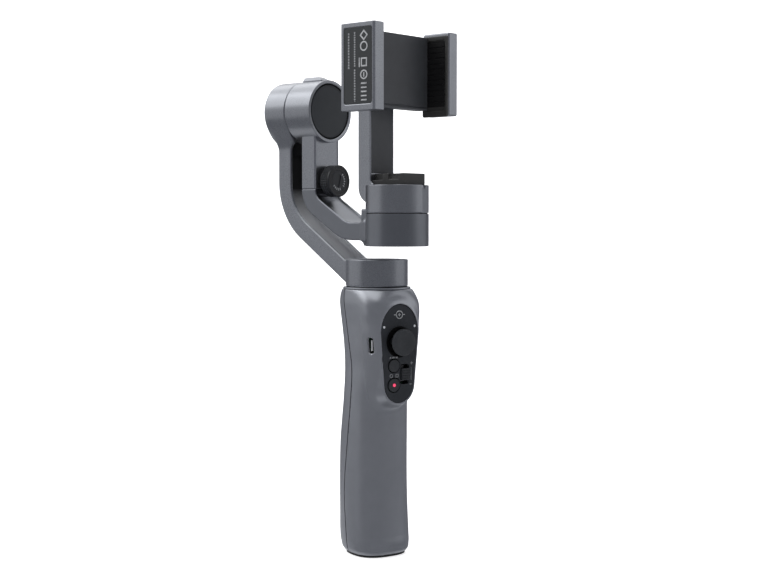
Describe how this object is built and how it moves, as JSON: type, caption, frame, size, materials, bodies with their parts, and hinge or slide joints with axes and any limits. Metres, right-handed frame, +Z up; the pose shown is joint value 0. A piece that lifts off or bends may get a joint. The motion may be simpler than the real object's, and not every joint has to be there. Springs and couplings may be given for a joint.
{
  "type": "handheld phone gimbal",
  "caption": "Handheld motorised phone stabiliser: grip with joystick and keys, bent outer arm, telescopic inner arm, pan, roll and tilt motors and a spring clamp.",
  "frame": {"origin": "mouth of the tripod thread in the handle's foot, on the pan axis", "axes": "+Z up along the handle, -Y the way the clamp faces, +X the way the moving jaw opens"},
  "size_m": [0.0717, 0.1046, 0.2937],
  "materials": {
    "handle_paint": "satin metallic paint on moulded shells",
    "arm_paint": "satin metallic paint on die casting",
    "channel_black": "satin",
    "panel_black": "fine matt",
    "disc_black": "fine matt",
    "key_black": "satin",
    "joystick_rubber": "soft touch",
    "base_black": "matt",
    "thread_brass": "turned",
    "screw_steel": "turned",
    "bearing_steel": "ground",
    "shaft_steel": "ground",
    "port_steel": "stamped",
    "winding_copper": "enamelled",
    "magnet_steel": "plated",
    "board_green": "solder mask",
    "switch_gray": "moulded",
    "cell_wrap": "shrink wrap",
    "holder_black": "moulded",
    "light_lens": "diffuse",
    "power_lens": "clear red",
    "knob_black": "knurled",
    "plate_black": "satin gloss",
    "label_black": "printed film",
    "grip_rubber": "matt",
    "rest_black": "moulded"
  },
  "bodies": {
    "handle": {"front_shell": "handle_paint", "rear_shell": "handle_paint", "base_plate": "base_black", "tripod_insert": "thread_brass", "base_screws": "screw_steel", "control_panel": "panel_black", "joystick_housing": "holder_black", "status_lights": "light_lens", "control_board": "board_green", "tact_switches": "switch_gray", "usb_port": "port_steel", "main_board": "board_green", "battery_cell": "cell_wrap", "battery_holder": "holder_black", "neck_collar": "arm_paint", "pan_stator": "winding_copper", "pan_bearings": "bearing_steel"},
    "joystick_ring": {"joystick_cradle": "screw_steel"},
    "joystick": {"joystick_cap": "joystick_rubber"},
    "mode_key": {"mode_button": "key_black"},
    "power_key": {"power_button": "key_black", "power_button_lens": "power_lens"},
    "zoom_key": {"zoom_slider": "key_black"},
    "pan_arm": {"outer_arm": "arm_paint", "arm_inner_cover": "channel_black", "pan_cap": "arm_paint", "pan_magnets": "magnet_steel", "pan_shaft": "shaft_steel", "roll_rear_cap": "arm_paint", "roll_stator": "winding_copper", "roll_bearings": "bearing_steel"},
    "roll_arm": {"roll_housing": "arm_paint", "slide_sleeve": "arm_paint", "roll_cover_disc": "disc_black", "roll_magnets": "magnet_steel", "roll_shaft": "shaft_steel", "roll_top_block": "arm_paint"},
    "knob": {"lock_knob": "knob_black", "knob_cap": "key_black"},
    "slide_arm": {"slide_rod": "arm_paint", "tilt_lower_housing": "arm_paint", "tilt_stator": "winding_copper", "tilt_bearings": "bearing_steel", "tilt_bottom_cap": "disc_black"},
    "tilt_head": {"tilt_upper_housing": "arm_paint", "tilt_magnets": "magnet_steel", "tilt_shaft": "shaft_steel", "upright_arm": "arm_paint", "upright_cover": "plate_black", "phone_rest": "rest_black", "clamp_pivot": "shaft_steel"},
    "clamp": {"clamp_plate": "plate_black", "fixed_jaw": "arm_paint", "label_plate": "label_black", "fixed_jaw_pad": "grip_rubber"},
    "moving_jaw_set": {"moving_jaw": "arm_paint", "jaw_slider": "holder_black", "moving_jaw_pad": "grip_rubber", "guide_rods": "shaft_steel"}
  },
  "joints": [
    {"name": "pan_turn", "type": "hinge", "parent": "handle", "child": "pan_arm", "pos_m": [0, 0, 0.159], "axis": [0, 0, 1], "range_deg": [-160, 160]},
    {"name": "roll_turn", "type": "hinge", "parent": "pan_arm", "child": "roll_arm", "pos_m": [0, 0.05, 0.2511], "axis": [0, 1, 0], "range_deg": [-160, 160]},
    {"name": "arm_slide", "type": "slide", "parent": "roll_arm", "child": "slide_arm", "axis": [0, 0, -1], "range_m": [0, 0.0055]},
    {"name": "knob_turn", "type": "hinge", "parent": "roll_arm", "child": "knob", "pos_m": [0, 0.033, 0.2109], "axis": [0, 1, 0], "range_deg": [0, 180]},
    {"name": "tilt_turn", "type": "hinge", "parent": "slide_arm", "child": "tilt_head", "pos_m": [0, -0.015, 0.2], "axis": [0, 0, 1], "range_deg": [-160, 160]},
    {"name": "clamp_turn", "type": "hinge", "parent": "tilt_head", "child": "clamp", "pos_m": [0, -0.01, 0.2704], "axis": [0, -1, 0], "range_deg": [0, 90]},
    {"name": "jaw_slide", "type": "slide", "parent": "clamp", "child": "moving_jaw_set", "axis": [1, 0, 0], "range_m": [0, 0.026], "stiffness_N_per_m": 150, "springref_m": -0.02},
    {"name": "joystick_tip_updown", "type": "hinge", "parent": "handle", "child": "joystick_ring", "pos_m": [-0.00437, -0.01632, 0.12129], "axis": [0.9659, -0.2588, 0], "range_deg": [-12, 12], "stiffness_Nm_per_rad": 0.05},
    {"name": "joystick_tip_leftright", "type": "hinge", "parent": "joystick_ring", "child": "joystick", "pos_m": [-0.00437, -0.01632, 0.12129], "axis": [0.0004, 0.0014, 1], "range_deg": [-12, 12], "stiffness_Nm_per_rad": 0.05},
    {"name": "mode_press", "type": "slide", "parent": "handle", "child": "mode_key", "axis": [0.2588, 0.9658, 0.0131], "range_m": [0, 0.0005], "stiffness_N_per_m": 1500, "springref_m": -0.001},
    {"name": "power_press", "type": "slide", "parent": "handle", "child": "power_key", "axis": [0.2587, 0.9656, 0.025], "range_m": [0, 0.0005], "stiffness_N_per_m": 1500, "springref_m": -0.001},
    {"name": "zoom_slide", "type": "slide", "parent": "handle", "child": "zoom_key", "axis": [-0.0048, -0.0179, 0.9998], "range_m": [-0.002, 0.002], "stiffness_N_per_m": 600}
  ]
}
